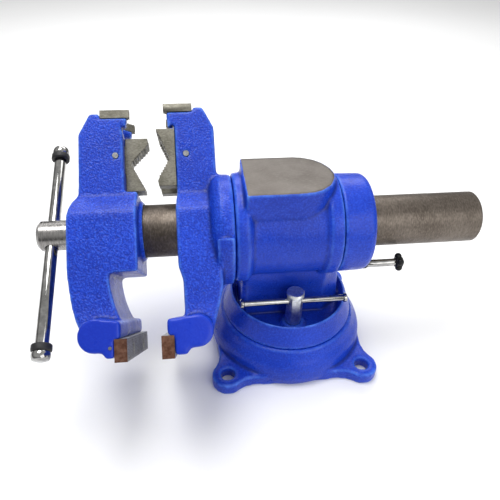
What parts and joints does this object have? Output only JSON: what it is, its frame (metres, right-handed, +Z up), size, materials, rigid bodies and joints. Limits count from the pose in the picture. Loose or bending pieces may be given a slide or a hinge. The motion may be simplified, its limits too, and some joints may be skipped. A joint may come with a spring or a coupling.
{
  "type": "bench vise",
  "caption": "Rotating-head bench vise with flat, pipe and top V jaws on a round slide bar, an anvil, and a lockable swivel base.",
  "frame": {"origin": "where the swivel axis meets the bench, in the centre of the bench bolt circle", "axes": "+X along the slide bar from the handle to the bar's rear end, +Z up, +Y away from the side with the flat jaws at rest"},
  "size_m": [0.464, 0.2504, 0.2683],
  "materials": {
    "cast_body": "blue hammered enamel",
    "jaw_steel": "ground tool steel",
    "bar_steel": "turned and oiled",
    "screw_steel": "turned",
    "plated": "bright plated",
    "fastener": "dark steel",
    "black_steel": "black",
    "nut_bronze": "cast bronze",
    "rubber": "black"
  },
  "bodies": {
    "base": {"swivel_base": "cast_body"},
    "turntable": {"housing": "cast_body", "pivot_bolt": "fastener", "pivot_washer": "fastener", "clamp_nuts": "fastener"},
    "lock_front": {"lock_bolt_front": "plated"},
    "lock_rear": {"lock_bolt_rear": "plated"},
    "bar_front": {"lock_bar_front": "plated"},
    "bar_rear": {"lock_bar_rear": "plated"},
    "head": {"static_jaw": "cast_body", "rear_cap": "cast_body", "cap_screws": "black_steel", "lead_nut": "nut_bronze", "nut_key": "fastener", "nut_key_screws": "fastener", "static_pipe_jaw": "jaw_steel", "static_pipe_pin": "fastener", "static_top_jaw": "jaw_steel", "static_top_screws": "fastener", "static_flat_jaw": "jaw_steel", "static_flat_screws": "fastener", "index_spring": "fastener", "index_bush": "black_steel"},
    "index": {"index_pin": "plated", "index_knob": "black_steel"},
    "jaw": {"movable_jaw": "cast_body", "slide_bar": "bar_steel", "bar_pin": "fastener", "movable_pipe_jaw": "jaw_steel", "movable_pipe_pin": "fastener", "movable_top_jaw": "jaw_steel", "movable_top_screws": "fastener", "movable_flat_jaw": "jaw_steel", "movable_flat_screws": "fastener", "lobe_pins": "fastener"},
    "screw": {"lead_screw": "screw_steel", "thrust_washer": "fastener", "retaining_collar": "fastener", "collar_pin": "fastener"},
    "handle": {"handle_rod": "plated", "handle_knobs": "plated", "handle_washers": "rubber"}
  },
  "joints": [
    {"name": "base_swivel", "type": "hinge", "parent": "base", "child": "turntable", "pos_m": [0, 0, 0], "axis": [0, 0, 1], "continuous": true},
    {"name": "lock_front_turn", "type": "hinge", "parent": "turntable", "child": "lock_front", "pos_m": [0, -0.042, 0.06], "axis": [0, 0, 1], "range_deg": [-12, 16]},
    {"name": "lock_rear_turn", "type": "hinge", "parent": "turntable", "child": "lock_rear", "pos_m": [0, 0.042, 0.06], "axis": [0, 0, 1], "range_deg": [-16, 12]},
    {"name": "bar_front_slide", "type": "slide", "parent": "lock_front", "child": "bar_front", "axis": [1, 0, 0], "range_m": [-0.014, 0.04]},
    {"name": "bar_rear_slide", "type": "slide", "parent": "lock_rear", "child": "bar_rear", "axis": [1, 0, 0], "range_m": [-0.014, 0.04]},
    {"name": "head_rotate", "type": "hinge", "parent": "turntable", "child": "head", "pos_m": [0, 0, 0.1605], "axis": [1, 0, 0], "continuous": true},
    {"name": "index_pull", "type": "slide", "parent": "head", "child": "index", "axis": [1, 0, 0], "range_m": [0, 0.008], "stiffness_N_per_m": 800, "springref_m": -0.008, "deforming": ["index_spring"]},
    {"name": "jaw_slide", "type": "slide", "parent": "head", "child": "jaw", "axis": [1, 0, 0], "range_m": [-0.12, 0.028]},
    {"name": "spindle_turn", "type": "hinge", "parent": "jaw", "child": "screw", "pos_m": [-0.25, 0, 0.1605], "axis": [1, 0, 0], "range_deg": [-7500, 2000]},
    {"name": "handle_slide", "type": "slide", "parent": "screw", "child": "handle", "axis": [0, 0.9063, 0.4226], "range_m": [-0.072, 0.09]}
  ],
  "couplings": [
    {"joint": "spindle_turn", "follows": "jaw_slide", "rad_per_m": 1047.2}
  ]
}
